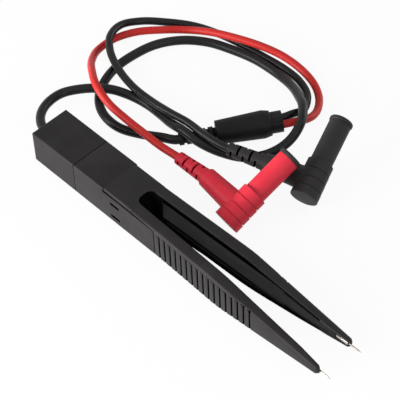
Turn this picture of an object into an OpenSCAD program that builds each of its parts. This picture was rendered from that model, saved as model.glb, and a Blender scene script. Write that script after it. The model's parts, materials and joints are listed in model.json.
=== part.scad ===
// Tweezer test clip for surface-mount components: two sprung arms with needle tips,
// a captive cable, a moulded Y splitter and two right-angle shrouded 4 mm plugs.
// Millimetres. +X runs from the cable end to the needle tips and +Z is up.
// The origin lies on the table, under the middle of the tweezers.

/* [Body] */
// Width across the housing
body_w = 21; // [19:0.5:24]
// Height of the housing
body_h = 18; // [16.5:0.5:20]
// Rounding of the long edges
edge_r = 0.9; // [0.5:0.1:1.2]
// Wall of the moulded shells
wall = 1.6; // [1.3:0.1:1.8]
// Wall of the spigot that carries the cap
spigot_wall = 1.3; // [1:0.1:1.6]
// Length of the rear cap
cap_len = 28.3; // [25:0.1:32]
// Radius of the cap's rear edges and corners
rear_r = 1.1; // [0.6:0.1:1.4]
// Depth of the spigot inside the cap
spigot_len = 16; // [12:0.5:17]
// Length of the housing ahead of the cap
sleeve_len = 19.7; // [17:0.1:24]
// Gap between moulded pieces that are pushed together
fit_gap = 0.15; // [0.1:0.05:0.25]
// Width of the seam that shows between the cap and the housing
seam_w = 0.35; // [0.2:0.05:0.5]

/* [Side tongues] */
// Reach of the tongues ahead of the housing
tongue_len = 33; // [29:0.5:36]
// Thickness of a tongue
tongue_t = 1.3; // [1:0.1:1.6]
// Height of the fork's band above the tongues
band_h = 1.7; // [1.2:0.1:2.5]
// Height of the tongues' lower edge above the housing's underside
tongue_foot = 0.4; // [0:0.1:0.8]
// Length of a latch window
latch_len = 5.8; // [4:0.1:7]
// Height of a latch window
latch_h = 1.1; // [0.8:0.1:1.6]
// Distance from the housing's front to the windows
latch_inset = 4.6; // [3:0.1:7]
// Height of the lower window's middle
latch_low_z = 3.9; // [3:0.1:5]
// Height of the upper window's middle
latch_high_z = 11.9; // [10:0.1:13]
// How far a latch nib stands out of the fork
latch_nib = 0.5; // [0.4:0.1:1]

/* [Fork] */
// Length of the bridge from the housing to the slot
bridge_len = 15.5; // [13:0.1:18]
// Depth of the fork's plug inside the housing
plug_in_len = 8; // [6:0.5:10]
// Half of the slot's width at its root
slot_half = 4.6; // [4.2:0.1:5]
// Corner radius of the slot's end
slot_r = 3.2; // [2:0.1:3.8]
// Gap at the flexure, where an arm meets the bridge
flex_gap = 0.25; // [0.2:0.05:0.4]

/* [Arms] */
// Length of an arm from the flexure to its end
arm_len = 112; // [100:1:124]
// How far the fork and the arms lie inside the housing's sides
arm_inset = 0.4; // [0.2:0.1:0.6]
// Thickness of an arm at the tip
tip_t = 3; // [2.8:0.1:3.6]
// Height of an arm at the tip
tip_h = 4.2; // [4:0.1:5.5]
// Distance from the flexure to the start of the taper
taper_start = 54; // [48:1:58]
// Half length of the rounded start of the taper
taper_blend = 5; // [2:0.5:6]
// Outward splay of an arm at rest, in degrees
splay = 1.75; // [1.5:0.05:2]
// Chamfer of the outer edges
outer_chamfer = 0.9; // [0.5:0.1:1]
// Chamfer of the inner edges
inner_chamfer = 0.2; // [0.1:0.05:0.6]
// Length of the nose, where the inner face falls back
nose_len = 12; // [8:0.5:14]
// How far the inner face falls back at the nose
nose_relief = 0.6; // [0.5:0.05:0.7]
// Length of the rounded end of an arm
tip_round = 1; // [0.6:0.1:1.4]

/* [Grip] */
// Number of grooves in a grip
grip_grooves = 17; // [12:1:17]
// Pitch of the grooves
groove_pitch = 3.5; // [3:0.1:3.6]
// Width of a groove
groove_w = 0.9; // [0.6:0.1:1.2]
// Depth of a groove
groove_depth = 0.6; // [0.3:0.1:0.8]
// Distance from the top edge to the grooves' upper end
groove_margin = 2.4; // [2:0.1:4]
// Length of the notch at a groove's upper end
notch_len = 1.5; // [1:0.1:2]
// Height of the notch at a groove's upper end
notch_h = 0.5; // [0.3:0.1:0.8]
// Depth of the notch at a groove's upper end
notch_depth = 0.3; // [0.2:0.1:0.5]

/* [Inner covers] */
// Thickness of a cover
cover_t = 1.1; // [0.8:0.1:1.2]
// How far a cover sits below the inner face
cover_sunk = 0.25; // [0.2:0.05:0.35]
// Distance from the flexure to the rear end of a cover
cover_start = 3; // [2:0.5:6]
// Distance from the arm's end to a cover's front end
cover_setback = 7.4; // [6:0.1:8]
// Flange left above and below a pocket at the grip
flange_t = 1.7; // [1.5:0.1:2]
// Height of a cover at the grip
cover_h = 10.2; // [9.5:0.1:11]
// Length of a cover's narrow front end
cover_nose_len = 6.8; // [5:0.1:8]
// Length of a cover's middle step
cover_neck_len = 21.5; // [18:0.5:24]
// Height of a cover at the rear of its middle step
cover_neck_h = 7.5; // [6.5:0.1:7.6]
// Height of a cover at the front of its middle step
cover_waist_h = 4.4; // [4:0.1:4.6]
// Height of a cover's narrow front end
cover_nose_h = 3.2; // [3:0.1:3.4]

/* [Contacts] */
// Thickness of a contact strip
strip_t = 0.4; // [0.3:0.05:0.45]
// Height of a contact strip
strip_h = 1.5; // [1.2:0.1:1.5]
// Length of a contact strip under its needle holder
strip_lap = 2; // [1:0.1:3]
// Diameter of a needle holder
holder_d = 1.8; // [1.5:0.1:1.9]
// Thickness of a needle holder across its flats
holder_t = 1.2; // [1.1:0.05:1.3]
// Closed end of a needle holder
holder_end = 0.8; // [0.5:0.1:1.5]
// End wall of the arm ahead of the holder
nose_wall = 1; // [0.8:0.1:1.4]
// Diameter of a needle
needle_d = 0.7; // [0.5:0.05:0.9]
// Length of needle that stands out of the arm
needle_out = 6.1; // [4:0.1:8]
// Length of a needle's point
needle_point = 1.8; // [1:0.1:2.5]
// Diameter of a needle's blunted end
needle_end_d = 0.14; // [0.1:0.02:0.3]
// Depth of a needle's axis behind the inner face
needle_depth = 1.1; // [1.1:0.05:1.15]

/* [Cables] */
// Diameter of the main cable
cable_d = 4.5; // [4:0.1:4.8]
// Length of main cable inside the housing
tail_len = 18; // [14:0.5:20]
// Diameter of the red and black leads
lead_d = 3.8; // [3.4:0.1:3.9]
// Diameter of the wires inside the housing
wire_d = 1.4; // [1.2:0.1:1.6]
// Clearance around a wire in its channel
wire_gap = 0.3; // [0.2:0.05:0.4]
// Diameter of the grommet's neck
grommet_d = 8; // [7:0.1:9]
// Diameter of the grommet's flange
grommet_flange_d = 11; // [10:0.1:12]
// Thickness of the grommet's flange
grommet_flange_t = 1.6; // [1:0.1:2.5]
// Outer diameter of the crimp sleeve on the cable
crimp_d = 7; // [6.5:0.1:8]
// Length of the crimp sleeve
crimp_len = 5; // [3:0.1:7]

/* [Splitter] */
// Length of the ribbed relief
relief_len = 17.5; // [14:0.5:20]
// Diameter of the relief's ribs next to the body
relief_d = 6.8; // [6.2:0.1:7]
// Diameter of the relief at the cable
relief_tail_d = 5.8; // [5.4:0.1:6]
// Depth of the grooves between ribs
relief_groove = 0.7; // [0.4:0.1:0.8]
// Ribs on a relief
relief_ribs = 5; // [4:1:6]
// Width of the grooves between ribs
relief_gap = 1.3; // [0.8:0.1:1.8]
// Length of the relief's root inside the body
relief_root_len = 6; // [4:0.5:8]
// Diameter of the body next to the relief
split_rear_d = 11.4; // [10.5:0.1:12]
// Largest diameter of the body
split_d = 13.3; // [12.6:0.1:13.4]
// Length from the relief to the largest diameter
split_swell_len = 22; // [20:0.5:23]
// Length of the shoulder ahead of the largest diameter
split_shoulder_len = 3.5; // [2:0.1:5]
// Diameter of the shoulder's front
split_shoulder_d = 11.8; // [11:0.1:12.4]
// Diameter of the end collar
split_collar_d = 10.2; // [9.6:0.1:10.8]
// Length of the end collar
split_collar_len = 5.5; // [4:0.1:5.6]
// Distance between the two leads where they leave
lead_spacing = 4.3; // [4.2:0.1:5]

/* [Plugs] */
// Length of the head from its butt to its collar
head_len = 18.1; // [17:0.1:20]
// Diameter of the head at its butt
head_d = 13.2; // [12.8:0.1:13.4]
// Diameter of the head's collar
head_collar_d = 12.4; // [12.2:0.1:12.8]
// Sections of the head, parted by grooves
head_sections = 4; // [3:1:5]
// Width and depth of the head's grooves
head_groove = 0.5; // [0.3:0.05:0.6]
// Distance from the butt to the boot's axis
boot_offset = 8.8; // [8:0.1:9.5]
// Diameter of the boot at the head
boot_d = 11.6; // [11:0.1:11.8]
// Diameter of the boot at its shoulder
boot_shoulder_d = 9.4; // [9:0.1:10]
// Distance from the barrel's axis to the boot's shoulder
boot_len = 23.5; // [22:0.5:25]
// Length of the plug's slotted relief
plug_relief_len = 18; // [17:0.5:20]
// Diameter of the plug's relief next to the boot
plug_relief_d = 7.8; // [7:0.1:8.4]
// Diameter of the plug's relief at the lead
plug_relief_tail_d = 6.2; // [5.8:0.1:6.6]
// Slots along the plug's relief, cut by turns in its sides and in its top and underside
relief_slots = 5; // [3:1:6]
// Width of a slot
slot_w = 1.1; // [0.6:0.1:1.2]
// Distance between slots
slot_pitch = 3.1; // [2.4:0.05:3.2]
// Distance from the relief's end to its first slot
slot_first = 2.3; // [1.8:0.1:3]
// Thickness left between two opposite slots
slot_core = 4.1; // [4:0.1:4.6]
// Bend of the red plug's relief towards the butt, in degrees
red_relief_bend = 7; // [0:1:15]
// Diameter of the shroud
shroud_d = 10.5; // [10.2:0.1:10.6]
// Bore of the shroud
shroud_bore = 7.2; // [6.8:0.1:7.6]
// Length from the butt to the end of the collar
plug_len = 41.5; // [39:0.5:44]
// Depth of the shroud's seat in the head
shroud_seat = 6; // [4:0.5:6.5]
// Diameter of the collar at the shroud's mouth
collar_d = 11.3; // [11:0.1:12]
// Length of the collar outside the shroud
collar_len = 2.1; // [1.6:0.1:2.6]
// Radius of the collar's edges
collar_r = 0.7; // [0.3:0.1:0.8]
// Length of the collar's sleeve inside the shroud
collar_sleeve = 3; // [2:0.5:4]
// Wall of the collar's sleeve
collar_wall = 0.6; // [0.5:0.05:0.8]
// Diameter of the plug's pin
pin_d = 4; // [3.9:0.05:4.1]
// Length of the pin from the shroud's seat
pin_len = 22; // [18:0.5:24]
// Length of the pin's tapered end
pin_point = 1; // [0.6:0.1:1.5]
// Diameter of the pin's blunted end
pin_end_d = 2; // [1.5:0.1:3]
// Diameter of the pin's shank
shank_d = 3; // [2.6:0.1:3.4]
// Length of the pin's shank in the head
shank_len = 7; // [5:0.1:8]

/* [Hidden] */
$fn = 48;
slip = 0.05;
eps = 0.01;
over = 1;

// Stations along the tweezers, from the rear face
sleeve_x = cap_len + sleeve_len;
slot_x = sleeve_x + bridge_len;
root_x = slot_x + slot_r;
flex_x = root_x + flex_gap;
mid_z = body_h / 2;
tongue_h = body_h - band_h;
groove_top = body_h - groove_margin;
fork_w = body_w - 2 * arm_inset;
arm_t = fork_w / 2 - slot_half;
needle_reach = arm_len + needle_out;
overall_len = flex_x + needle_reach * cos(splay) - needle_depth * sin(splay);
pocket_depth = needle_depth + holder_t / 2 + slip + strip_t;
wire_depth = pocket_depth - strip_t / 2;
channel_y = slot_half + wire_depth;
channel_d = wire_d + 2 * wire_gap;

// Sizes that follow from the fits
spigot_w = body_w - 2 * (wall + fit_gap);
spigot_h = body_h - 2 * (wall + fit_gap);
tongue_in = body_w / 2 - tongue_t;
tongue_gap = 2 * fit_gap;
grip_x = sleeve_x + tongue_len + fit_gap - flex_x;
cover_end = arm_len - cover_setback;
holder_x = cover_end + 2 * fit_gap;
holder_front = arm_len - nose_wall;
nose_slot_h = holder_d + 2 * fit_gap;
neck_x = cover_end - cover_nose_len;
step_x = neck_x - cover_neck_len;
split_len = split_swell_len + split_shoulder_len + split_collar_len;
seat_x = head_len - shroud_seat;
mouth_x = plug_len - collar_len;
sleeve_d = shroud_bore + 2 * collar_wall;

// How the pieces on the cables lie on the table: position of the first end, then
// azimuth, upward tilt and roll in degrees
splitter_at = [[-50.5, 41.5, 4.7], 55, 3.3, 0];
red_plug_at = [[1.2, 20.9, 6.2], 84, 24, 0];
black_plug_at = [[16, 55, 6.4], 108, 17, 3];

// A point of such a piece, carried to where the piece lies
function turned(at, p) =
  let (c = cos(at[3]), s = sin(at[3]), q = [p.x, p.y * c - p.z * s, p.y * s + p.z * c])
  let (k = cos(at[2]), t = sin(at[2]), r = [q.x * k - q.z * t, q.y, q.x * t + q.z * k])
  let (a = cos(at[1]), b = sin(at[1])) [r.x * a - r.y * b, r.x * b + r.y * a, r.z];
function carried(at, p) = at[0] + turned(at, p);

// End of a plug's relief and the direction from there into the plug, in the plug's own place
function relief_into(bend) = [sin(bend), -cos(bend), 0];
function relief_tail(bend) = [boot_offset, boot_len, 0] - plug_relief_len * relief_into(bend);

// Routes of the cables over the table
cable_exit = [-overall_len / 2, 0, mid_z];
main_route = [
  cable_exit, [-98.5, 0.5, 8.9], [-103, 3, 8.3], [-107.5, 8, 7.6], [-110, 14.5, 7], [-110, 22, 6.7],
  [-106, 29, 7.1], [-100.5, 35, 7.4], [-94.5, 40.5, 6.6], [-87, 45, 4.6], [-78, 47, 3.9],
  [-68, 46.3, 5], [-59, 44.5, 7.2], [-49, 43.2, 10.5], [-39.5, 44.5, 8.7], [-30.5, 49, 5.5],
  [-20.5, 56.5, 3.7], [-14.5, 66, 4.2], [-12, 76, 7.4], [-13.5, 84, 11.2], [-19.5, 91.5, 11.4],
  [-28, 97.5, 8.4], [-38, 102.5, 4.8], [-49.5, 105, 2.4], [-62.5, 104.5, 2.4], [-75.5, 101.5, 2.4],
  [-88.5, 96.5, 2.4], [-98.5, 88.5, 2.4], [-105, 78, 2.4], [-107.5, 66, 2.4], [-107.5, 54.5, 2.4],
  [-104.5, 44, 2.4], [-99, 35.5, 2.4], [-91, 30, 2.4], [-78, 28.5, 2.4], [-66.5, 33, 2.7],
  [-58, 37.2, 3.9], carried(splitter_at, [0, 0, 0])
];
red_route = [
  carried(splitter_at, [relief_len + split_len, -lead_spacing / 2, 0]),
  [-18, 85.5, 7.3], [-16.5, 92, 5.4], [-18, 99, 3], [-23, 106.5, 2.1], [-31, 112, 2],
  [-42, 114.5, 3], [-53, 113.5, 5], [-65, 110, 6.4], [-77, 105.5, 6.6], [-89, 101, 5.4],
  [-101, 95.5, 2.8], [-111, 87, 2], [-119, 77, 2], [-123, 66, 2], [-122.5, 56, 2.4],
  [-117, 47.5, 5.6], [-107.5, 39.5, 10.4], [-97.5, 33.5, 12.6], [-86.5, 31, 10.4], [-75, 31, 8.5],
  [-63, 31, 8], [-51, 30.7, 8.3], carried(red_plug_at, relief_tail(red_relief_bend))
];
black_route = [
  carried(splitter_at, [relief_len + split_len, lead_spacing / 2, 0]),
  [-22.5, 88, 7.3], [-22, 94, 5.2], [-25, 100, 3], [-30, 105.5, 2.1], [-38, 109, 2],
  [-49, 110, 2], [-61.5, 109, 2], [-74.5, 107.5, 2], [-88, 105, 2], [-101, 100.5, 2],
  [-113, 92.5, 2.2], [-122, 83.5, 3], [-125, 73, 5.4], [-122, 64, 6.6], [-115, 57.5, 6.6],
  [-106.5, 53, 7], [-96.5, 49.5, 7.5], [-85.5, 47.3, 8.2], [-74, 46.8, 8.9], [-62.5, 46.6, 10.6],
  [-50.5, 47.7, 11.3], [-38.5, 47.3, 11.9], carried(black_plug_at, relief_tail(0))
];

// Colours of the mouldings
body_black = [0.13, 0.13, 0.14];
cable_black = [0.09, 0.09, 0.1];
lead_red = [0.82, 0.1, 0.08];
plug_red = [0.8, 0.1, 0.15];

// Taper of an arm at a distance from the flexure, 0 at the grip and 1 at the end
function taper(x) =
  let (run = x - taper_start, span = arm_len - taper_start)
  run <= -taper_blend ? 0
  : run >= taper_blend ? run / span
  : pow(run + taper_blend, 2) / (4 * taper_blend * span);
function arm_half_h(x) = (body_h - taper(x) * (body_h - tip_h)) / 2;
function arm_outer(x) = arm_t - taper(x) * (arm_t - tip_t);
function arm_inner(x) = nose_relief * max(0, x - arm_len + nose_len) / nose_len;

// Cross-section of an arm, drawn in by an inset at the rounded end
function arm_ring(x, inset = 0) =
  let (y0 = arm_inner(x) + inset, y1 = arm_outer(x) - inset, h = arm_half_h(x) - inset)
  let (z0 = mid_z - h, z1 = mid_z + h, o = outer_chamfer, i = inner_chamfer)
  [
    [x, y0, z0 + i], [x, y0, z1 - i], [x, y0 + i, z1], [x, y1 - o, z1],
    [x, y1, z1 - o], [x, y1, z0 + o], [x, y1 - o, z0], [x, y0 + i, z0]
  ];

// Upper edge of a cover seen from the inner side, grown by a clearance, from its first step to its end
function cover_steps(grow) = [
  [step_x + grow, arm_half_h(step_x) - flange_t + grow],
  [step_x + grow, cover_neck_h / 2 + grow],
  [neck_x + grow, cover_waist_h / 2 + grow],
  [neck_x + grow, cover_nose_h / 2 + grow],
  [cover_end + grow, cover_nose_h / 2 + grow]
];

// The cover keeps its height at the grip until it meets the tapering pocket
function meet_x() =
  let (top = arm_half_h(0) - flange_t, end = arm_half_h(step_x) - flange_t)
  taper_start + (step_x - taper_start) * (top - cover_h / 2) / (top - end);
function pocket_edge() = concat(
  [
    [cover_start - fit_gap, arm_half_h(0) - flange_t + fit_gap],
    [taper_start, arm_half_h(0) - flange_t + fit_gap]
  ],
  cover_steps(fit_gap)
);
function cover_edge() = concat([[cover_start, cover_h / 2], [meet_x(), cover_h / 2]], cover_steps(0));

// Closed outline from an upper edge and its mirror image
function both_sides(edge) =
  let (n = len(edge))
  concat(edge, [for (i = [n - 1 : -1 : 0]) [edge[i].x, -edge[i].y]]);

// Unit vector
function unit(v) = v / norm(v);

// Ring of a tube around a point of its route
function tube_ring(p, along, d, sides) =
  let (side = unit(cross(along, [0, 0, 1])), up = cross(side, along))
  [for (i = [0 : sides - 1]) let (a = 360 * (i + 0.5) / sides) p + d / 2 * (cos(a) * side + sin(a) * up)];

// Solid between rings of equal point counts
module loft(rings) {
  n = len(rings[0]);
  last = (len(rings) - 1) * n;
  walls = [
    for (i = [0 : len(rings) - 2], j = [0 : n - 1])
      let (a = i * n + j, b = i * n + (j + 1) % n)
        each [[a, b, b + n], [a, b + n, a + n]]
  ];
  ends = [[for (j = [n - 1 : -1 : 0]) j], [for (j = [0 : n - 1]) last + j]];
  polyhedron([for (ring = rings) each ring], concat(walls, ends));
}

// Round tube along a route that leaves along one direction and arrives along another
module tube(route, d, leave, arrive, sides = 8) {
  last = len(route) - 1;
  loft([
    for (i = [0 : last])
      let (along = i == 0 ? leave : i == last ? arrive : route[i + 1] - route[i - 1])
        tube_ring(route[i], unit(along), d, sides)
  ]);
}

// Round bar along X
module rod(d, from, to, d2 = 0) {
  translate([from, 0, 0]) rotate([0, 90, 0]) cylinder(d1 = d, d2 = d2 > 0 ? d2 : d, h = to - from);
}

// Solid of revolution about X from a profile of [x, radius] points
module turned_bar(profile) {
  rotate([0, 90, 0]) rotate_extrude() polygon([for (p = profile) [p.y, p.x]]);
}

module rounded_rect(w, h, r) {
  translate([r - w / 2, 0]) square([w - 2 * r, h]);
  translate([-w / 2, r]) square([w, h - 2 * r]);
  for (x = [r - w / 2, w / 2 - r], y = [r, h - r]) translate([x, y]) circle(r);
}

// Bar of rounded rectangular section along X, centred on Y
module rounded_bar(from, to, w, h, r, z = 0) {
  translate([from, 0, z]) rotate([90, 0, 90]) linear_extrude(to - from) rounded_rect(w, h, r);
}

// Places that pieces are drawn in
module tweezers() translate([-overall_len / 2, 0, 0]) children();
module right_side() translate([flex_x, slot_half, 0]) rotate(splay) children();
module laid(at) translate(at[0]) rotate([at[3], -at[2], at[1]]) children();

// The same piece on the right arm, or mirrored for the left arm
module on_arm(left) {
  tweezers() mirror([0, left ? 1 : 0, 0]) children();
}

// Outline of the cap from above or from the side, with rounded rear corners
module rear_outline(w) rotate(-90) rounded_rect(w, cap_len + 2 * rear_r, rear_r);

// Rear cap: a five-sided shell with the cable hole in its end wall
module rear_cap() {
  color(body_black) tweezers() difference() {
    intersection() {
      rounded_bar(0, cap_len, body_w, body_h, edge_r);
      linear_extrude(body_h) rear_outline(body_w);
      rotate([90, 0, 0]) linear_extrude(body_w, center = true) translate([0, mid_z]) rear_outline(body_h);
    }
    rounded_bar(wall, cap_len + over, body_w - 2 * wall, body_h - 2 * wall, edge_r, wall);
    translate([0, 0, mid_z]) rod(grommet_d + 2 * slip, -over, wall + over);
  }
}

// Windows in the side tongues, or the nibs that fill them when a margin is taken off
module latches(y0, y1, margin) {
  for (z = [latch_low_z, latch_high_z])
    translate([sleeve_x + latch_inset + margin, y0, z - latch_h / 2 + margin])
      cube([latch_len - 2 * margin, y1 - y0, latch_h - 2 * margin]);
}

// Housing: spigot for the cap, open sleeve, and a tongue along each side of the fork
module housing() {
  socket_x = cap_len + wall;
  bore_w = spigot_w - 2 * spigot_wall;
  bore_h = spigot_h - 2 * spigot_wall;
  spigot_z = wall + fit_gap;
  color(body_black) tweezers() difference() {
    union() {
      rounded_bar(cap_len - spigot_len, socket_x, spigot_w, spigot_h, edge_r, spigot_z);
      rounded_bar(cap_len + seam_w, sleeve_x, body_w, body_h, edge_r);
      intersection() {
        rounded_bar(sleeve_x - eps, sleeve_x + tongue_len, body_w, body_h, edge_r);
        for (s = [0, 1]) mirror([0, s, 0])
          translate([sleeve_x - eps, tongue_in, tongue_foot])
            cube([tongue_len + eps, tongue_t, tongue_h - tongue_foot]);
      }
    }
    rounded_bar(0, socket_x + over, bore_w, bore_h, edge_r, spigot_z + spigot_wall);
    rounded_bar(socket_x, sleeve_x + over, body_w - 2 * wall, body_h - 2 * wall, edge_r, wall);
    for (s = [0, 1]) mirror([0, s, 0]) latches(tongue_in - over, body_w, 0);
  }
}

// Rounded end of the slot between the arms
module slot_end() {
  flat = slot_half - slot_r;
  translate([0, 0, -over]) linear_extrude(body_h + 2 * over) {
    translate([slot_x, -flat]) square([slot_r + over, 2 * flat]);
    translate([root_x, -slot_half]) square([over, 2 * slot_half]);
    for (y = [-flat, flat]) translate([root_x, y]) circle(slot_r);
  }
}

// Space beside the fork that the tongues and their clearance take up
module tongue_space(length) {
  for (s = [0, 1]) mirror([0, s, 0])
    translate([sleeve_x - over, tongue_in - tongue_gap, -over])
      cube([length + over, body_w, tongue_h + tongue_gap + over]);
}

// Fork root: plug in the housing, bridge with the slot's end, and latch nibs
module fork_root() {
  plug_w = body_w - 2 * (wall + fit_gap);
  plug_h = body_h - 2 * (wall + fit_gap);
  color(body_black) tweezers() difference() {
    union() {
      rounded_bar(sleeve_x - plug_in_len, sleeve_x + wall, plug_w, plug_h, edge_r, wall + fit_gap);
      difference() {
        rounded_bar(sleeve_x + slip, root_x, fork_w, body_h, edge_r);
        tongue_space(root_x);
      }
      for (s = [0, 1]) mirror([0, s, 0])
        latches(tongue_in - tongue_gap - eps, tongue_in - tongue_gap + latch_nib, fit_gap);
    }
    slot_end();
    for (y = [-channel_y, channel_y]) translate([0, y, mid_z]) rod(channel_d, 0, root_x + over);
  }
}

// Groove across the outer face of an arm, with a short notch at its upper end
module grip_groove(x) {
  face = arm_outer(x);
  translate([x - groove_w / 2, face - groove_depth, -over])
    cube([groove_w, over + groove_depth, groove_top + over]);
  translate([x - notch_len, face - notch_depth, groove_top - notch_h])
    cube([notch_len, over + notch_depth, notch_h]);
}

// One arm: tapered bar with grip grooves, and a stepped pocket in its inner face
module arm_body() {
  stations = [
    0, grip_x, taper_start - taper_blend, taper_start - taper_blend / 3, taper_start + taper_blend / 3,
    taper_start + taper_blend, arm_len - nose_len, arm_len - tip_round
  ];
  difference() {
    right_side() difference() {
      loft(concat([for (x = stations) arm_ring(x)], [arm_ring(arm_len, tip_round / 2)]));
      for (i = [1 : grip_grooves]) grip_groove(grip_x + i * groove_pitch);
      translate([0, pocket_depth, mid_z]) rotate([90, 0, 0])
        linear_extrude(pocket_depth + over) polygon(both_sides(pocket_edge()));
      translate([cover_end - over, -over, mid_z - nose_slot_h / 2])
        cube([holder_front - cover_end + over + slip, over + pocket_depth, nose_slot_h]);
      translate([0, needle_depth, mid_z]) rod(needle_d + 2 * fit_gap, holder_front - over, arm_len + over);
      translate([0, wire_depth, mid_z]) rod(channel_d, -over, cover_start + over);
    }
    tongue_space(tongue_len + fit_gap);
  }
}

// Stepped strip that closes the pocket of an arm
module cover_body() {
  right_side() translate([0, cover_sunk + cover_t, mid_z]) rotate([90, 0, 0])
    linear_extrude(cover_t) polygon(both_sides(cover_edge()));
}

// Metal strip along the floor of the pocket, from the wire to the needle holder
module strip_body() {
  right_side() translate([cover_start, pocket_depth - strip_t, mid_z - strip_h / 2])
    cube([holder_x + strip_lap - cover_start, strip_t, strip_h]);
}

// Metal ferrule with two flats in the nose, with a blind bore for the needle
module holder_body() {
  right_side() translate([0, needle_depth, mid_z]) difference() {
    intersection() {
      rod(holder_d, holder_x, holder_front);
      translate([holder_x, -holder_t / 2, -holder_d]) cube([holder_front - holder_x, holder_t, 2 * holder_d]);
    }
    rod(needle_d + 2 * slip, holder_x + holder_end, holder_front + over);
  }
}

// Needle with a conical point
module needle_body() {
  start = holder_x + holder_end + slip;
  right_side() translate([0, needle_depth, mid_z]) {
    rod(needle_d, start, needle_reach - needle_point);
    rod(needle_d, needle_reach - needle_point, needle_reach, needle_end_d);
  }
}

module left_arm() { color(body_black) on_arm(true) arm_body(); }
module right_arm() { color(body_black) on_arm(false) arm_body(); }
module left_cover() { color(body_black) on_arm(true) cover_body(); }
module right_cover() { color(body_black) on_arm(false) cover_body(); }
module left_contact_strip() { color("goldenrod") on_arm(true) strip_body(); }
module right_contact_strip() { color("goldenrod") on_arm(false) strip_body(); }
module left_needle_holder() { color("silver") on_arm(true) holder_body(); }
module right_needle_holder() { color("silver") on_arm(false) holder_body(); }
module left_needle() { color("gold") on_arm(true) needle_body(); }
module right_needle() { color("gold") on_arm(false) needle_body(); }

// Grommet in the rear wall, with its flange inside
module cable_grommet() {
  color(cable_black) tweezers() translate([0, 0, mid_z]) difference() {
    union() {
      rod(grommet_d, 0, wall + grommet_flange_t);
      rod(grommet_flange_d, wall + slip, wall + grommet_flange_t);
    }
    rod(cable_d + 2 * slip, -over, wall + grommet_flange_t + over);
  }
}

// Crimp sleeve behind the grommet that keeps the cable from being pulled out
module cable_crimp() {
  start = wall + grommet_flange_t + slip;
  color("silver") tweezers() translate([0, 0, mid_z]) difference() {
    rod(crimp_d, start, start + crimp_len);
    rod(cable_d + 2 * slip, start - over, start + crimp_len + over);
  }
}

// End of the cable's jacket inside the housing
module cable_tail() {
  color(cable_black) tweezers() translate([0, 0, mid_z]) rod(cable_d, 0, tail_len);
}

// Insulated wire from the cable's jacket to the channel of one arm
module inner_wire() {
  apart = wire_d / 2 + fit_gap;
  plug_x = sleeve_x - plug_in_len;
  third = (plug_x - tail_len) / 3;
  spread = (channel_y - apart) / 10;
  route = [
    [tail_len, apart, mid_z], [tail_len + third, apart + spread, mid_z],
    [plug_x - third, channel_y - spread, mid_z], [plug_x, channel_y, mid_z],
    [root_x - flex_gap, channel_y, mid_z]
  ];
  tube(route, wire_d, [1, 0, 0], [1, 0, 0]);
}
module left_inner_wire() { color("black") on_arm(true) inner_wire(); }
module right_inner_wire() { color("red") on_arm(false) inner_wire(); }

module main_cable() {
  color(cable_black) tube(main_route, cable_d, [-1, 0, 0], turned(splitter_at, [1, 0, 0]));
}

// Ribbed cable relief along X, from the cable to the moulding that carries it
module ribbed_relief(length, tail_d, root_d, root_len) {
  pitch = length / relief_ribs;
  rise = (root_d - tail_d) / 2 / length;
  neck = root_d / 2 - relief_groove;
  ribs = [
    for (i = [0 : relief_ribs - 1])
      let (x = i * pitch, rib = pitch - relief_gap, r = tail_d / 2 + rise * x, top = r + rise * rib)
        each [[x, r], [x + rib, top], [x + rib, top - relief_groove], [x + pitch, top - relief_groove]]
  ];
  turned_bar(concat([[0, 0]], ribs, [[length, neck], [length + root_len, neck], [length + root_len, 0]]));
}

module splitter_relief() {
  color(cable_black) laid(splitter_at) ribbed_relief(relief_len, relief_tail_d, relief_d, relief_root_len);
}

// Swollen body of the splitter with a collar where the two leads come out
module splitter_body() {
  swell = relief_len + split_swell_len;
  shoulder = swell + split_shoulder_len;
  end = relief_len + split_len;
  seat_d = relief_d - 2 * relief_groove + 2 * slip;
  color(cable_black) laid(splitter_at) difference() {
    turned_bar([
      [relief_len + slip, 0], [relief_len + slip, split_rear_d / 2], [swell, split_d / 2],
      [shoulder, split_shoulder_d / 2], [shoulder, split_collar_d / 2], [end, split_collar_d / 2], [end, 0]
    ]);
    rod(seat_d, relief_len - over, relief_len + relief_root_len + slip);
  }
}

module red_lead() {
  color(lead_red)
    tube(
      red_route, lead_d, turned(splitter_at, [1, 0, 0]),
      turned(red_plug_at, relief_into(red_relief_bend))
    );
}
module black_lead() {
  color(cable_black)
    tube(black_route, lead_d, turned(splitter_at, [1, 0, 0]), turned(black_plug_at, relief_into(0)));
}

// Stepped head of a plug, parted by grooves
module plug_head() {
  pitch = head_len / head_sections;
  drop = (head_d - head_collar_d) / 2 / (head_sections - 1);
  sections = [
    for (i = [0 : head_sections - 1])
      let (r = head_d / 2 - i * drop, x = i * pitch, low = r - head_groove)
        each i == 0 ? [[0, r], [x + pitch - head_groove, r]]
          : [
            [x - head_groove, low], [x, low], [x, r],
            [x + pitch - (i == head_sections - 1 ? 0 : head_groove), r]
          ]
  ];
  turned_bar(concat([[0, 0]], sections, [[head_len, 0]]));
}

// Tapered relief along X from the boot to the lead, with slots cut by turns from two sides
module slotted_relief() {
  difference() {
    rod(plug_relief_d, -plug_relief_d / 4, plug_relief_len, plug_relief_tail_d);
    for (i = [0 : relief_slots - 1], side = [0, 180])
      translate([plug_relief_len - slot_first - i * slot_pitch, 0, 0]) rotate([side + (i % 2) * 90, 0, 0])
        translate([-slot_w / 2, slot_core / 2, -plug_relief_d])
          cube([slot_w, plug_relief_d, 2 * plug_relief_d]);
  }
}

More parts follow.
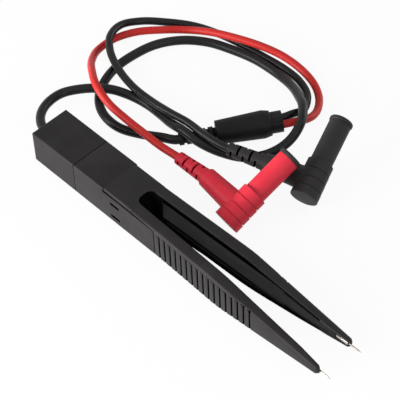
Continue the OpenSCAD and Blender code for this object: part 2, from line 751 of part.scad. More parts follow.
// Overmoulded elbow: head, tapered boot and slotted relief, with seats for shroud and pin
module plug_elbow(bend) {
  difference() {
    union() {
      plug_head();
      translate([boot_offset, 0, 0]) rotate(90) rod(boot_d, 0, boot_len, boot_shoulder_d);
      translate([boot_offset, boot_len, 0]) rotate(90 + bend) slotted_relief();
    }
    rod(shroud_d + 2 * slip, seat_x, head_len + over);
    rod(shank_d + 2 * slip, seat_x - shank_len, seat_x + over);
  }
}

// Rigid shroud around the pin, with a seat at its mouth for the collar's sleeve
module plug_shroud() {
  difference() {
    rod(shroud_d, seat_x + slip, mouth_x);
    rod(shroud_bore, seat_x - over, mouth_x + over);
    rod(sleeve_d + 2 * slip, mouth_x - collar_sleeve - slip, mouth_x + over);
  }
}

// Collar in the shroud's mouth: a rounded bead and a sleeve
module plug_collar() {
  difference() {
    union() {
      translate([mouth_x + slip, 0, 0]) rotate([0, 90, 0]) rotate_extrude() intersection() {
        rounded_rect(collar_d, collar_len - slip, collar_r);
        square([collar_d, collar_len]);
      }
      rod(sleeve_d, mouth_x - collar_sleeve, mouth_x + 2 * slip);
    }
    rod(shroud_bore, mouth_x - collar_sleeve - over, plug_len + over);
  }
}

// Pin with a thinner shank in the head and a rounded-off end
module plug_pin() {
  end = seat_x + pin_len;
  rod(shank_d, seat_x - shank_len + slip, seat_x + 2 * slip);
  rod(pin_d, seat_x + slip, end - pin_point);
  rod(pin_d, end - pin_point, end, pin_end_d);
}

module red_plug_body() { color(plug_red) laid(red_plug_at) plug_elbow(red_relief_bend); }
module red_plug_shroud() { color(plug_red) laid(red_plug_at) plug_shroud(); }
module red_plug_collar() { color(cable_black) laid(red_plug_at) plug_collar(); }
module red_plug_pin() { color("silver") laid(red_plug_at) plug_pin(); }
module black_plug_body() { color(cable_black) laid(black_plug_at) plug_elbow(0); }
module black_plug_shroud() { color(cable_black) laid(black_plug_at) plug_shroud(); }
module black_plug_collar() { color(cable_black) laid(black_plug_at) plug_collar(); }
module black_plug_pin() { color("silver") laid(black_plug_at) plug_pin(); }

rear_cap();
housing();
fork_root();
left_arm();
right_arm();
left_cover();
right_cover();
left_contact_strip();
right_contact_strip();
left_needle_holder();
right_needle_holder();
left_needle();
right_needle();
cable_grommet();
cable_crimp();
cable_tail();
left_inner_wire();
right_inner_wire();
main_cable();
splitter_relief();
splitter_body();
red_lead();
black_lead();
red_plug_body();
red_plug_shroud();
red_plug_collar();
red_plug_pin();
black_plug_body();
black_plug_shroud();
black_plug_collar();
black_plug_pin();
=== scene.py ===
import json
import math
import bmesh
import bpy
from mathutils import Matrix, Vector
from mathutils.bvhtree import BVHTree


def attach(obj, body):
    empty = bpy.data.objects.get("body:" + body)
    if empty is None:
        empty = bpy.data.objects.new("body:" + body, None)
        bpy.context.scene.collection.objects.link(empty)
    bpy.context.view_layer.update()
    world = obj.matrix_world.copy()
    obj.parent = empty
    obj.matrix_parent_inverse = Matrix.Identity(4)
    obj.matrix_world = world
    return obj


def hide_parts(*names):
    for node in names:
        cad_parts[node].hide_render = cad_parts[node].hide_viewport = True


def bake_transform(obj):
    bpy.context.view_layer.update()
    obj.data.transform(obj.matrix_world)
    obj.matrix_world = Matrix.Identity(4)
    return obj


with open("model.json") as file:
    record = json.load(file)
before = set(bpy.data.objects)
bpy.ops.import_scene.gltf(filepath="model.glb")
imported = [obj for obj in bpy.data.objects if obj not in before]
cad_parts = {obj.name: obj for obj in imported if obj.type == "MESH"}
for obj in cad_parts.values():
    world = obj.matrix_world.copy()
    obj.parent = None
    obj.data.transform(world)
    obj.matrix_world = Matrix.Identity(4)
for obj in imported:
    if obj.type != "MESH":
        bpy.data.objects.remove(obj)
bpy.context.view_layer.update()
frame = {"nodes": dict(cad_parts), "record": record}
scene = bpy.context.scene

# Named sizes are in millimetres, and stations are counted from the rear of the cap
MM = 0.001
REAR = -92.4807
BODY_TOP = 18
BODY_MIDDLE = 9


def mm(p):
    """A point or size given in millimetres, in metres."""
    return Vector(p) * MM


def station(co):
    """Station of a point."""
    return co.x / MM - REAR


def at_station(x):
    """Place of a station along X, in metres."""
    return (REAR + x) * MM


# Camera, at the photograph's angle
LENS = 162
CAMERA_AT = (369.4, -327.7, 618.6)
LOOK = (-0.4799, 0.4350, -0.7619)
ACROSS = (0.6969, 0.7165, -0.0299)

cam_data = bpy.data.cameras.new("camera")
cam_data.sensor_width = 36
cam_data.lens = LENS
cam_data.clip_start = 0.05
cam_data.clip_end = 20
camera = bpy.data.objects.new("camera", cam_data)
scene.collection.objects.link(camera)
look = Vector(LOOK).normalized()
across = Vector(ACROSS)
across = (across - look * across.dot(look)).normalized()
above = across.cross(look)
turn = Matrix((across, above, -look)).transposed()
camera.matrix_world = Matrix.Translation(mm(CAMERA_AT)) @ turn.to_4x4()
scene.camera = camera


# Materials
class Nodes:
    """A small helper around a material's node tree."""

    def __init__(self, name):
        self.mat = bpy.data.materials.new(name)
        self.mat.use_nodes = True
        self.tree = self.mat.node_tree
        self.bsdf = self.tree.nodes["Principled BSDF"]
        self.coord = self.add("ShaderNodeTexCoord")

    def add(self, kind, **inputs):
        node = self.tree.nodes.new(kind)
        for key, value in inputs.items():
            node.inputs[key].default_value = value
        return node

    def link(self, a, b):
        self.tree.links.new(a, b)

    def noise(self, scale, detail, rough=0.55, stretch=None):
        node = self.add("ShaderNodeTexNoise", Scale=scale, Detail=detail, Roughness=rough)
        source = self.coord.outputs["Object"]
        if stretch:
            mapping = self.add("ShaderNodeMapping", Scale=stretch)
            self.link(source, mapping.inputs["Vector"])
            source = mapping.outputs["Vector"]
        self.link(source, node.inputs["Vector"])
        return node.outputs["Fac"]

    def mottle(self, fac, dark, light):
        """Colour that goes from dark to light with a noise."""
        node = self.add("ShaderNodeValToRGB")
        for element, place, colour in zip(node.color_ramp.elements, (0.3, 0.7), (dark, light)):
            element.position = place
            element.color = (*colour, 1)
        self.link(fac, node.inputs["Fac"])
        return node.outputs["Color"]

    def span(self, fac, low, high):
        node = self.add("ShaderNodeMapRange")
        node.inputs["To Min"].default_value = low
        node.inputs["To Max"].default_value = high
        self.link(fac, node.inputs["Value"])
        return node.outputs["Result"]

    def round_edges(self, radius):
        node = self.add("ShaderNodeBevel", Radius=radius * MM)
        node.samples = 6
        return node.outputs["Normal"]

    def bump(self, fac, strength, distance, normal=None):
        node = self.add("ShaderNodeBump", Strength=strength, Distance=distance * MM)
        self.link(fac, node.inputs["Height"])
        if normal:
            self.link(normal, node.inputs["Normal"])
        return node.outputs["Normal"]

    def finish(self, colour, rough, normal):
        self.link(colour, self.bsdf.inputs["Base Color"])
        self.link(rough, self.bsdf.inputs["Roughness"])
        self.link(normal, self.bsdf.inputs["Normal"])
        return self.mat


def plastic(name, dark, light, rough, edge, specular):
    """Moulded plastic: a faint mottle, a fine eroded texture and soft edges."""
    n = Nodes(name)
    n.bsdf.inputs["Specular IOR Level"].default_value = specular
    colour = n.mottle(n.noise(scale=90, detail=3), dark, light)
    rough_map = n.span(n.noise(scale=260, detail=4), rough - 0.06, rough + 0.06)
    grain = n.noise(scale=4200, detail=3, rough=0.6)
    eroded = n.bump(grain, strength=0.05, distance=0.06, normal=n.round_edges(edge))
    wavy = n.bump(n.noise(scale=120, detail=2), strength=0.05, distance=0.4, normal=eroded)
    return n.finish(colour, rough_map, wavy)


def jacket(name, dark, light, rough):
    """Extruded jacket: smooth and shiny, with slow waves along it."""
    n = Nodes(name)
    n.bsdf.inputs["Specular IOR Level"].default_value = JACKET_SPECULAR
    colour = n.mottle(n.noise(scale=60, detail=2), dark, light)
    rough_map = n.span(n.noise(scale=400, detail=4), rough - 0.05, rough + 0.07)
    wavy = n.bump(n.noise(scale=160, detail=2), strength=0.06, distance=0.3)
    return n.finish(colour, rough_map, wavy)


def metal(name, dark, light, rough, edge, drawn):
    """Plated metal with faint lines, drawn out along X."""
    n = Nodes(name)
    n.bsdf.inputs["Metallic"].default_value = 1.0
    stretch = (1, drawn, drawn)
    colour = n.mottle(n.noise(scale=500, detail=3), dark, light)
    streaks = n.noise(scale=900, detail=4, rough=0.6, stretch=stretch)
    rough_map = n.span(streaks, rough - 0.06, rough + 0.08)
    lines = n.noise(scale=1500, detail=3, rough=0.6, stretch=stretch)
    lined = n.bump(lines, strength=0.02, distance=0.02, normal=n.round_edges(edge))
    return n.finish(colour, rough_map, lined)


JACKET_SPECULAR = 0.14
BODY_DARK = (0.0160, 0.0146, 0.0151)
BODY_LIGHT = (0.0216, 0.0197, 0.0204)
# Dark and light colour, roughness, edge radius and specular level
PLASTICS = {
    "body_plastic": (BODY_DARK, BODY_LIGHT, 0.5, 0.3, 0.10),
    "splitter_plastic": ((0.006, 0.006, 0.0061), (0.009, 0.009, 0.0091), 0.5, 0.4, 0.10),
    "black_plug_plastic": ((0.0200, 0.0186, 0.0191), (0.0268, 0.0250, 0.0257), 0.48, 0.3, 0.12),
    "red_plug_plastic": ((0.50, 0.021, 0.038), (0.57, 0.027, 0.046), 0.48, 0.3, 0.15),
    # Painted shade: a near-black finish for the gaps between pieces, the latch windows, the grip grooves,
    # a cover's edges and the black plug's relief slots
    "recess": ((0.002, 0.002, 0.002), (0.003, 0.003, 0.003), 0.75, 0.1, 0),
    # Painted shade: a dark red finish for the slots of the red plug's relief
    "red_recess": ((0.20, 0.006, 0.012), (0.25, 0.008, 0.015), 0.7, 0.1, 0.05),
    # Painted shade: a near-black finish for the slot's closed end and the arm's faces beside a cover
    "deep_plastic": ((0.003, 0.003, 0.003), (0.006, 0.006, 0.006), 0.6, 0.2, 0),
    # Painted shade: the cover plastic is darker than the body, to stand for the shade the other arm casts
    # on the cover
    "cover_plastic": ((0.0115, 0.0112, 0.0114), (0.0155, 0.0150, 0.0153), 0.5, 0.2, 0.08),
    "flush_plastic": (BODY_DARK, BODY_LIGHT, 0.5, 0.02, 0.10),
}
# Dark and light colour, and roughness
JACKETS = {
    "black_jacket": ((0.0095, 0.0093, 0.0096), (0.0130, 0.0127, 0.0131), 0.27),
    "red_jacket": ((0.44, 0.021, 0.018), (0.51, 0.027, 0.023), 0.33),
}
# Dark and light colour, roughness, edge radius and how fine the drawn lines are
METALS = {
    "nickel_plate": ((0.55, 0.51, 0.48), (0.66, 0.62, 0.58), 0.34, 0.12, 14),
    "needle_metal": ((0.24, 0.20, 0.165), (0.32, 0.275, 0.23), 0.34, 0.1, 14),
    "contact_brass": ((0.62, 0.44, 0.18), (0.74, 0.56, 0.26), 0.3, 0.1, 10),
}
finishes = {}
for recipe, table in ((plastic, PLASTICS), (jacket, JACKETS), (metal, METALS)):
    for name, values in table.items():
        finishes[name] = recipe(name, *values)


def paint(ob, name):
    """Give the whole piece one finish."""
    ob.data.materials.clear()
    ob.data.materials.append(finishes[name])


def add_finish(ob, name):
    """Index of a further finish on a piece, which is added if it isn't there."""
    materials = ob.data.materials
    finish = finishes[name]
    if finish.name not in materials:
        materials.append(finish)
    return materials.find(finish.name)


slot_of = {s["node"]: s["material_slot"] for s in frame["record"]["subparts"]}
for name, ob in frame["nodes"].items():
    paint(ob, slot_of[name])


# Skins: each visible CAD node again, with clean faces and smooth curves
WELD = 0.0002
SHARP = 38


def welded(node):
    """Working mesh of a CAD node, with its doubled corners joined."""
    bm = bmesh.new()
    bm.from_mesh(frame["nodes"][node].data)
    bmesh.ops.remove_doubles(bm, verts=bm.verts, dist=WELD * MM)
    return bm


def new_object(name, bm):
    """Object made from a working mesh, which is then freed."""
    mesh = bpy.data.meshes.new(name)
    bm.to_mesh(mesh)
    bm.free()
    ob = bpy.data.objects.new(name, mesh)
    scene.collection.objects.link(ob)
    return ob


def apply_modifiers(ob):
    """Keep the mesh that the object's modifiers make."""
    bpy.context.view_layer.update()
    evaluated = ob.evaluated_get(bpy.context.evaluated_depsgraph_get())
    final = bpy.data.meshes.new_from_object(evaluated)
    ob.modifiers.clear()
    ob.data = final


def smooth(ob, sharp, flat):
    """Smooth shading with normals weighted by area, so that flat faces beside small rounds stay flat."""
    for p in ob.data.polygons:
        p.use_smooth = True
    ob.data.set_sharp_from_angle(angle=math.radians(sharp))
    weigh = ob.modifiers.new("weigh", "WEIGHTED_NORMAL")
    weigh.keep_sharp = True
    weigh.mode = "FACE_AREA" if flat else "FACE_AREA_WITH_ANGLE"
    weigh.weight = 100 if flat else 50
    weigh.thresh = 0.1
    apply_modifiers(ob)


def skin(node, body="body", flat=False):
    """Visible piece that stands for a CAD node and rides on its body."""
    ob = new_object(node + "_skin", welded(node))
    smooth(ob, SHARP, flat)
    paint(ob, slot_of[node])
    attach(ob, body)
    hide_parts(node)
    return ob


# Cords, along the routes of the CAD solids
def cord_curve(name, points, start, end, diameter, slot):
    """Round cord on one smooth curve, with the directions of its two ends."""
    curve = bpy.data.curves.new(name, "CURVE")
    curve.dimensions = "3D"
    curve.bevel_depth = diameter / 2 * MM
    curve.bevel_resolution = 6
    curve.resolution_u = 8
    curve.use_fill_caps = True
    spline = curve.splines.new("BEZIER")
    spline.bezier_points.add(len(points) - 1)
    pts = [mm(p) for p in points]
    last = len(pts) - 1
    for i, bp in enumerate(spline.bezier_points):
        p = pts[i]
        back = (p - pts[i - 1]).length if i else 0
        ahead = (pts[i + 1] - p).length if i < last else 0
        if i == 0:
            t = Vector(start)
        elif i == last:
            t = Vector(end)
        else:
            # Tangent of the circle through three neighbouring points
            t = (p - pts[i - 1]) / back * ahead + (pts[i + 1] - p) / ahead * back
        t.normalize()
        bp.handle_left_type = bp.handle_right_type = "FREE"
        bp.co = p
        bp.handle_left = p - t * (back or ahead) / 3
        bp.handle_right = p + t * (ahead or back) / 3
    ob = bpy.data.objects.new(name, curve)
    scene.collection.objects.link(ob)
    paint(ob, slot)
    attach(ob, "body")
    return ob


main_route = [
    (-92.48, 0, 9), (-98.5, 0.5, 8.9), (-103, 3, 8.3), (-107.5, 8, 7.6), (-110, 14.5, 7), (-110, 22, 6.7),
    (-106, 29, 7.1), (-100.5, 35, 7.4), (-94.5, 40.5, 6.6), (-87, 45, 4.6), (-78, 47, 3.9),
    (-68, 46.3, 5), (-59, 44.5, 7.2), (-49, 43.2, 10.5), (-39.5, 44.5, 8.7), (-30.5, 49, 5.5),
    (-20.5, 56.5, 3.7), (-14.5, 66, 4.2), (-12, 76, 7.4), (-13.5, 84, 11.2), (-19.5, 91.5, 11.4),
    (-28, 97.5, 8.4), (-38, 102.5, 4.8), (-49.5, 105, 2.4), (-62.5, 104.5, 2.4), (-75.5, 101.5, 2.4),
    (-88.5, 96.5, 2.4), (-98.5, 88.5, 2.4), (-105, 78, 2.4), (-107.5, 66, 2.4), (-107.5, 54.5, 2.4),
    (-104.5, 44, 2.4), (-99, 35.5, 2.4), (-91, 30, 2.4), (-78, 28.5, 2.4), (-66.5, 33, 2.7),
    (-58, 37.2, 3.9), (-50.5, 41.5, 4.7),
]
red_route = [
    (-20.966, 79.93, 7.492), (-18, 85.5, 7.3), (-16.5, 92, 5.4), (-18, 99, 3), (-23, 106.5, 2.1),
    (-31, 112, 2), (-42, 114.5, 3), (-53, 113.5, 5), (-65, 110, 6.4), (-77, 105.5, 6.6), (-89, 101, 5.4),
    (-101, 95.5, 2.8), (-111, 87, 2), (-119, 77, 2), (-123, 66, 2), (-122.5, 56, 2.4),
    (-117, 47.5, 5.6), (-107.5, 39.5, 10.4), (-97.5, 33.5, 12.6), (-86.5, 31, 10.4), (-75, 31, 8.5),
    (-63, 31, 8), (-51, 30.7, 8.3), (-39.308, 31.226, 8.887),
]
black_route = [
    (-24.489, 82.396, 7.492), (-22.5, 88, 7.3), (-22, 94, 5.2), (-25, 100, 3), (-30, 105.5, 2.1),
    (-38, 109, 2), (-49, 110, 2), (-61.5, 109, 2), (-74.5, 107.5, 2), (-88, 105, 2), (-101, 100.5, 2),
    (-113, 92.5, 2.2), (-122, 83.5, 3), (-125, 73, 5.4), (-122, 64, 6.6), (-115, 57.5, 6.6),
    (-106.5, 53, 7), (-96.5, 49.5, 7.5), (-85.5, 47.3, 8.2), (-74, 46.8, 8.9), (-62.5, 46.6, 10.6),
    (-50.5, 47.7, 11.3), (-38.5, 47.3, 11.9), (-25.819, 49.593, 11.05),
]
CABLE = 4.5
LEAD = 3.8
rear_axis = (-1, 0, 0)
split_axis = (0.5726, 0.8178, 0.0576)
red_tail_axis = (0.9987, 0.0070, 0.0496)
black_tail_axis = (0.9450, 0.3231, -0.0500)
main_cord = cord_curve("main_cable_skin", main_route, rear_axis, split_axis, CABLE, "black_jacket")
red_cord = cord_curve("red_lead_skin", red_route, split_axis, red_tail_axis, LEAD, "red_jacket")
black_cord = cord_curve("black_lead_skin", black_route, split_axis, black_tail_axis, LEAD, "black_jacket")
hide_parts("main_cable")
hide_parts("red_lead")
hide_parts("black_lead")


# Splitter and plugs on the cords: lengths and radii of a plug's turned parts, and the depth of its slots
TURNED = math.radians(9)
HEAD_LEN, HEAD_RADIUS = 18.2, 7
BOOT_LEN, BOOT_RADIUS = 23.6, 6.2
RELIEF_RADIUS, RELIEF_WIDE, RELIEF_NARROW = 4.1, 3.9, 3.1
RELIEF_SLOT = 0.3


def turned_normals(ob, barrels):
    """Exact normals on the faces turned about the axes of these barrels."""
    mesh = ob.data
    normals = [Vector(c.vector) for c in mesh.corner_normals]
    for p in mesh.polygons:
        for start, axis, length, radius in barrels:
            place = p.center - start
            along = place.dot(axis)
            out = place - axis * along
            lean = p.normal.dot(axis)
            flat = p.normal - axis * lean
            within = 0 < along < length and out.length <= radius * MM
            if not within or flat.length < 0.3 or flat.angle(out) > TURNED:
                continue
            for k in p.loop_indices:
                arm = mesh.vertices[mesh.loops[k].vertex_index].co - start
                arm -= axis * arm.dot(axis)
                normals[k] = arm.normalized() * flat.length + axis * lean
    mesh.normals_split_custom_set(normals)


def shade_relief(ob, start, axis, length, finish):
    """Painted shade inside the slots of a plug's relief, as a darker finish on their faces."""
    index = add_finish(ob, finish)
    for p in ob.data.polygons:
        place = p.center - start
        along = place.dot(axis)
        radius = RELIEF_WIDE + (RELIEF_NARROW - RELIEF_WIDE) * along / length
        if 0 < along < length and (place - axis * along).length < (radius - RELIEF_SLOT) * MM:
            p.material_index = index


def plug_looks(ob, finish, head, head_axis, elbow, boot_axis, boot_end, tail):
    """Make a plug's head, boot and relief look round, and shade the relief's slots."""
    relief = mm(tail) - mm(boot_end)
    relief_axis = relief.normalized()
    barrels = [
        (mm(head), Vector(head_axis), HEAD_LEN * MM, HEAD_RADIUS),
        (mm(elbow), Vector(boot_axis), BOOT_LEN * MM, BOOT_RADIUS),
        (mm(boot_end), relief_axis, relief.length, RELIEF_RADIUS),
    ]
    turned_normals(ob, barrels)
    shade_relief(ob, mm(boot_end), relief_axis, relief.length, finish)


splitter = [skin(n) for n in ("splitter_relief", "splitter_body")]
red_plug = [skin("red_plug_" + n) for n in ("body", "shroud", "collar", "pin")]
black_plug = [skin("black_plug_" + n) for n in ("body", "shroud", "collar", "pin")]
# Painted shade in the slots of each plug's relief: dark red on the red plug, near black on the black plug
plug_looks(
    red_plug[0], "red_recess", head=(1.2, 20.9, 6.2), head_axis=(0.09549, 0.90854, 0.40674),
    elbow=(2.0403, 28.8952, 9.7793), boot_axis=(-0.99452, 0.10453, 0),
    boot_end=(-21.3309, 31.3516, 9.7793), tail=red_route[-1])
plug_looks(
    black_plug[0], "recess", head=(16, 55, 6.4), head_axis=(-0.29551, 0.9095, 0.29237),
    elbow=(13.3995, 63.0036, 8.9729), boot_axis=(-0.94502, -0.32315, 0.05005),
    boot_end=(-8.8086, 55.4097, 10.149), tail=black_route[-1])


# Shading of the gaps between pieces
FIT = 0.5
WINDOW_ENDS = (52.5, 58.5)
WINDOW_MIDDLES = (3.9, 11.9)
WINDOW_HALF = 0.85
WINDOW_SIDE = 8


def near(nodes):
    """Test for a point that lies within a fit's width of one of these CAD nodes."""
    trees = []
    for node in nodes:
        bm = welded(node)
        trees.append(BVHTree.FromBMesh(bm))
        bm.free()
    return lambda co: any(t.find_nearest(co, FIT * MM)[0] is not None for t in trees)


def above_window_middle(co):
    """Height of a point above the middle of the nearest latch window, in millimetres."""
    return min((co.z / MM - middle for middle in WINDOW_MIDDLES), key=abs)


def in_windows(co):
    """Test for a point in the latch windows of the tongues."""
    along = WINDOW_ENDS[0] < station(co) < WINDOW_ENDS[1]
    return along and abs(co.y) > WINDOW_SIDE * MM and abs(above_window_middle(co)) < WINDOW_HALF


def paint_shade_within(ob, inside):
    """Paint shade, as a near-black finish, on the faces that lie inside with corners, edges and middle.
    """
    index = add_finish(ob, "recess")
    for p in ob.data.polygons:
        cos = [ob.data.vertices[v].co for v in p.vertices]
        mids = [(a + b) / 2 for a, b in zip(cos, cos[1:] + cos[:1])]
        if all(inside(co) for co in cos + mids + [p.center]):
            p.material_index = index


def flush_top(ob, reach):
    """Give the flat top behind this station, whose end is flush with the next piece, no soft edge."""
    index = add_finish(ob, "flush_plastic")
    for p in ob.data.polygons:
        on_top = p.normal.z > 0.999 and p.center.z > (BODY_TOP - 0.1) * MM
        if on_top and station(p.center) < reach:
            p.material_index = index


# Housing: its gaps are as wide as they show in the photograph, with none on top ahead of the sleeve
SLEEVE_END = 48
SLEEVE_GAP = 0.05
TONGUE_TOP = 16.3
TONGUE_TOP_GAP = 0.3
TONGUE_END = 80.9
TONGUE_END_GAP = 0.4
WINDOW_GAP = 0.25
TOUCH = 0.01


def set_gaps(ob):
    """Open the gaps of the windows and tongues, and close the one on top."""
    for v in ob.data.vertices:
        x, z = station(v.co), v.co.z / MM
        if in_windows(v.co):
            v.co.z += math.copysign(WINDOW_GAP * MM, above_window_middle(v.co))
        elif x > SLEEVE_END - FIT and abs(z - TONGUE_TOP) < TOUCH:
            v.co.z -= TONGUE_TOP_GAP * MM
        elif abs(x - SLEEVE_END) < TOUCH and z > BODY_TOP - 1:
            v.co.x += SLEEVE_GAP * MM
        if x > TONGUE_END:
            v.co.x -= TONGUE_END_GAP * MM


skin("cable_grommet")
# Painted shade: the cap's faces beside the housing, and the housing's faces beside the cap, fork and arms
# and inside the latch windows, get a near-black finish
paint_shade_within(skin("rear_cap", flat=True), near(["housing"]))
housing = skin("housing", flat=True)
set_gaps(housing)
paint_shade_within(housing, near(["rear_cap", "fork_root", "left_arm", "right_arm"]))
paint_shade_within(housing, in_windows)
flush_top(housing, SLEEVE_END + FIT)


# Pieces on the jaws: the gap above a cover widens along its narrow end
COVER_UPPER = 9.3
COVER_GAP = 0.35
COVER_GAP_FROM = 118
COVER_GAP_RISE = 10


def cover_looks(ob):
    """Open the gap above a cover, give the cover a darker plastic that stands for the shade the other arm
    casts on it, and paint shade on its edges with a near-black finish.
    """
    paint(ob, "cover_plastic")
    index = add_finish(ob, "recess")
    for v in ob.data.vertices:
        if v.co.z > COVER_UPPER * MM:
            share = (station(v.co) - COVER_GAP_FROM) / COVER_GAP_RISE
            v.co.z -= COVER_GAP * MM * min(max(share, 0), 1)
    for p in ob.data.polygons:
        if abs(p.normal.y) < 0.7:
            p.material_index = index


for side in ("left", "right"):
    for part in ("needle_holder", "needle", "contact_strip"):
        skin(side + "_" + part, side + "_jaw")
    cover_looks(skin(side + "_cover", side + "_jaw", flat=True))


# Fork: station of the joints, half width of the slot there, and the splay of the arms at rest
FLEX = 66.82
SLOT_HALF = 4.6
SPLAY = math.radians(1.75)
# Stations along an arm, and how far its lower inner edge stands in there
LIP = [
    (63.6, 0), (66.7, 0.5), (71, 0.9), (77, 1.4), (88, 1.5),
    (97, 1.1), (129, 1), (141, 0.75), (153, 0.45), (163, 0),
]
# Stations and half width of the slot's closed end, which gets painted shade, and the margin at its top
# and bottom that is left unpainted
SLOT_END = (60, 72.5)
SLOT_END_HALF = 5.6
SLOT_EDGE = 0.4
# How far inwards the faces beside a cover must point to get painted shade, above the middle and on the
# drawn-in part below it
UPPER_INWARD = 0.8
LOWER_INWARD = 0.2
FACE_MARGIN = 0.3
# Stations of the grip grooves, which get painted shade, and the least distance of their walls from the
# middle
GRIP_ENDS = (80, 150)
GRIP_SIDE = 6
# How far an arm is moved into the root, and how deep its rear end goes
ARM_OVERLAP = 0.6
ARM_END = 0.8
# Stations between which the fork bends, and the cuts across its skin there
CUT_FROM = 62.5
CUT_STEP = 1.25
CUTS = 9
# Welding distance, angle of faces that count as one plane, and angle of a sharp edge
FORK_WELD = 0.001
FORK_PLANE = math.radians(0.4)
FORK_SHARP = 30
FORK_TOP = 62.4


def lip_reach(x):
    """How far an arm's lower inner edge stands in at a station."""
    for (x0, d0), (x1, d1) in zip(LIP, LIP[1:]):
        if x0 <= x <= x1:
            return d0 + (d1 - d0) * (x - x0) / (x1 - x0)
    return 0


def on_inner_face(co):
    """Test for a point on an arm's inner face, beside the cover."""
    x = station(co)
    inner = SLOT_HALF + (x - FLEX) * math.tan(SPLAY)
    return LIP[0][0] < x < LIP[-1][0] and abs(co.y) < (inner + FACE_MARGIN) * MM


def cut(bm, co, normal, clear=False):
    """Cut a mesh along a plane, and clear the side behind it if asked."""
    geom = bm.verts[:] + bm.edges[:] + bm.faces[:]
    bmesh.ops.bisect_plane(bm, geom=geom, plane_co=co, plane_no=normal, clear_inner=clear)


def lower_lip(bm, sign):
    """Draw the lower inner edge of an arm in."""
    for x, _ in LIP:
        cut(bm, (at_station(x), 0, 0), (1, 0, 0))
    bm.normal_update()
    low = [v for v in bm.verts if v.co.z < BODY_MIDDLE * MM and on_inner_face(v.co)]
    edge = [v for v in low if any(f.normal.z < -0.5 for f in v.link_faces)]
    for v in edge:
        v.co.y -= sign * lip_reach(station(v.co)) * MM


def grown_arm(side):
    """An arm with its rear end moved back a little, into the root."""
    bm = welded(side + "_arm")
    rear = min(v.co.x for v in bm.verts)
    facing = [f for f in bm.faces if f.normal.x < -0.99]
    ends = [f for f in facing if f.calc_center_median().x < rear + ARM_END * MM]
    grown = bmesh.ops.extrude_face_region(bm, geom=ends)
    moved = [v for v in grown["geom"] if isinstance(v, bmesh.types.BMVert)]
    bmesh.ops.translate(bm, verts=moved, vec=(-ARM_OVERLAP * MM, 0, 0))
    bmesh.ops.delete(bm, geom=ends, context="FACES")
    return new_object(side + "_arm_grown", bm)


def joined_fork(side):
    """The root and one arm as one solid."""
    arm = grown_arm(side)
    fork = new_object(side + "_fork", welded("fork_root"))
    join = fork.modifiers.new("join", "BOOLEAN")
    join.operation = "UNION"
    join.solver = "EXACT"
    join.object = arm
    apply_modifiers(fork)
    bpy.data.objects.remove(arm)
    return fork


def shade_grooves(half):
    """Paint shade, as a near-black finish, on the walls and floors of the grip grooves."""
    index = add_finish(half, "recess")
    bm = bmesh.new()
    bm.from_mesh(half.data)
    walls = set()
    for f in bm.faces:
        middle = f.calc_center_median()
        on_grip = GRIP_ENDS[0] < station(middle) < GRIP_ENDS[1] and abs(middle.y) > GRIP_SIDE * MM
        if on_grip and abs(f.normal.x) > 0.9:
            walls.add(f)
    floors = {g for f in walls for e in f.edges if not e.is_convex for g in e.link_faces}
    for f in walls | floors:
        f.material_index = index
    bm.to_mesh(half.data)
    bm.free()


def shade_slot(half, sign):
    """Paint shade, as a near-black finish, on the slot's closed end and on the arm's faces beside the
    cover.
    """
    index = add_finish(half, "deep_plastic")
    for p in half.data.polygons:
        y, z = abs(p.center.y) / MM, p.center.z / MM
        at_end = SLOT_END[0] < station(p.center) < SLOT_END[1] and y < SLOT_END_HALF
        least = LOWER_INWARD if z < BODY_MIDDLE else UPPER_INWARD
        beside_cover = on_inner_face(p.center) and -p.normal.y * sign > least
        if beside_cover or (at_end and SLOT_EDGE < z < BODY_TOP - SLOT_EDGE):
            p.material_index = index


def fork_half(side, sign):
    """Half of the root with its arm, as one moulding, cut across near the arm's rear end."""
    half = joined_fork(side)
    bm = bmesh.new()
    bm.from_mesh(half.data)
    bmesh.ops.remove_doubles(bm, verts=bm.verts, dist=FORK_WELD * MM)
    cut(bm, (0, 0, 0), (0, sign, 0), clear=True)
    bmesh.ops.dissolve_limit(bm, angle_limit=FORK_PLANE, verts=bm.verts, edges=bm.edges)
    for k in range(CUTS):
        cut(bm, (at_station(CUT_FROM + k * CUT_STEP), 0, 0), (1, 0, 0))
    lower_lip(bm, sign)
    bmesh.ops.triangulate(bm, faces=bm.faces)
    bm.to_mesh(half.data)
    bm.free()
    smooth(half, FORK_SHARP, flat=True)
    paint(half, "body_plastic")
    # Painted shade: near black on the faces beside the housing, cover and needle holder, and inside the
    # latch windows
    paint_shade_within(half, near(["housing", side + "_cover", side + "_needle_holder"]))
    paint_shade_within(half, in_windows)
    # Painted shade on the walls and floors of the grip grooves
    shade_grooves(half)
    # Painted shade at the slot's closed end and on the arm's faces beside the cover
    shade_slot(half, sign)
    flush_top(half, FORK_TOP)
    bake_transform(half)
    return half


left_fork = fork_half("left", -1)
right_fork = fork_half("right", 1)
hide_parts("fork_root", "left_arm")
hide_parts("right_arm")


# Floor and world: white to the eye, and lit at a plain level
FLOOR_GREY = 0.86
# Share of the floor's white that is its own, while the rest is lit and keeps the object's shadow
FLOOR_WHITE = 0.92
SKY = 0.32


def shader(tree, kind, grey, strength=None):
    """Output of a new shader node in an even grey."""
    node = tree.nodes.new(kind)
    node.inputs["Color"].default_value = (grey, grey, grey, 1)
    if strength is not None:
        node.inputs["Strength"].default_value = strength
    return node.outputs[0]


def seen_ray(tree, share):
    """This share for a ray from the camera, or one that gloss or glass sends on, and none for others."""
    path = tree.nodes.new("ShaderNodeLightPath")
    total = path.outputs["Is Camera Ray"]
    for kind in ("Is Glossy Ray", "Is Transmission Ray"):
        most = tree.nodes.new("ShaderNodeMath")
        most.operation = "MAXIMUM"
        tree.links.new(total, most.inputs[0])
        tree.links.new(path.outputs[kind], most.inputs[1])
        total = most.outputs["Value"]
    part = tree.nodes.new("ShaderNodeMath")
    part.operation = "MULTIPLY"
    part.inputs[1].default_value = share
    tree.links.new(total, part.inputs[0])
    return part.outputs["Value"]


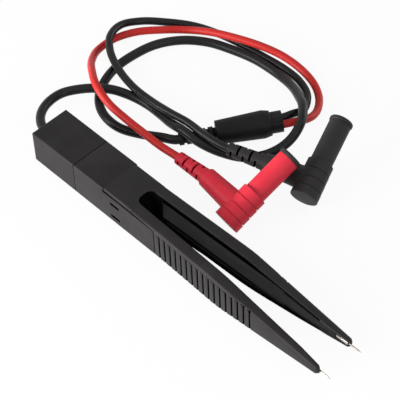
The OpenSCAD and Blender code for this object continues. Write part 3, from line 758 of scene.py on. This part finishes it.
def two_looks(tree, output, lit, seen, share):
    """Show one shader to the eye in this share, and the other to the rest of the light."""
    mix = tree.nodes.new("ShaderNodeMixShader")
    tree.links.new(seen_ray(tree, share), mix.inputs["Fac"])
    tree.links.new(lit, mix.inputs[1])
    tree.links.new(seen, mix.inputs[2])
    out = tree.nodes.new(output)
    tree.links.new(mix.outputs["Shader"], out.inputs["Surface"])


grid = bmesh.new()
bmesh.ops.create_grid(grid, x_segments=1, y_segments=1, size=3)
floor = new_object("floor", grid)
floor_mat = bpy.data.materials.new("floor")
floor_mat.use_nodes = True
tree = floor_mat.node_tree
tree.nodes.clear()
lit_floor = shader(tree, "ShaderNodeBsdfDiffuse", FLOOR_GREY)
white_floor = shader(tree, "ShaderNodeEmission", 1, 1)
two_looks(tree, "ShaderNodeOutputMaterial", lit_floor, white_floor, FLOOR_WHITE)
floor.data.materials.append(floor_mat)

world = bpy.data.worlds.new("world")
scene.world = world
world.use_nodes = True
tree = world.node_tree
tree.nodes.clear()
sky = shader(tree, "ShaderNodeBackground", 1, SKY)
white_sky = shader(tree, "ShaderNodeBackground", 1, 1)
two_looks(tree, "ShaderNodeOutputWorld", sky, white_sky, 1)


# Soft studio light
def softbox(name, place, aim, size, watts):
    """Lamp with a rectangular face, turned to what it lights."""
    light = bpy.data.lights.new(name, "AREA")
    light.shape = "RECTANGLE"
    light.size, light.size_y = size
    light.energy = watts
    ob = bpy.data.objects.new(name, light)
    ob.location = place
    ob.rotation_euler = (Vector(aim) - Vector(place)).to_track_quat("-Z", "Y").to_euler()
    scene.collection.objects.link(ob)


softbox("key", place=(-0.35, -0.75, 0.45), aim=(0, 0.03, 0), size=(0.7, 0.5), watts=7.5)
softbox("side", place=(-0.4, -0.85, 0.1), aim=(0, 0.03, 0.01), size=(0.9, 0.16), watts=16)
softbox("top", place=(0.1, 0.15, 0.9), aim=(-0.02, 0.04, 0), size=(0.5, 0.5), watts=0.6)
softbox("back", place=(0.25, 0.9, 0.3), aim=(0, 0.03, 0.01), size=(0.8, 0.4), watts=3)
softbox("fill", place=(0.8, -0.1, 0.45), aim=(0, 0.03, 0), size=(0.5, 0.5), watts=2)

scene.view_settings.view_transform = "Standard"
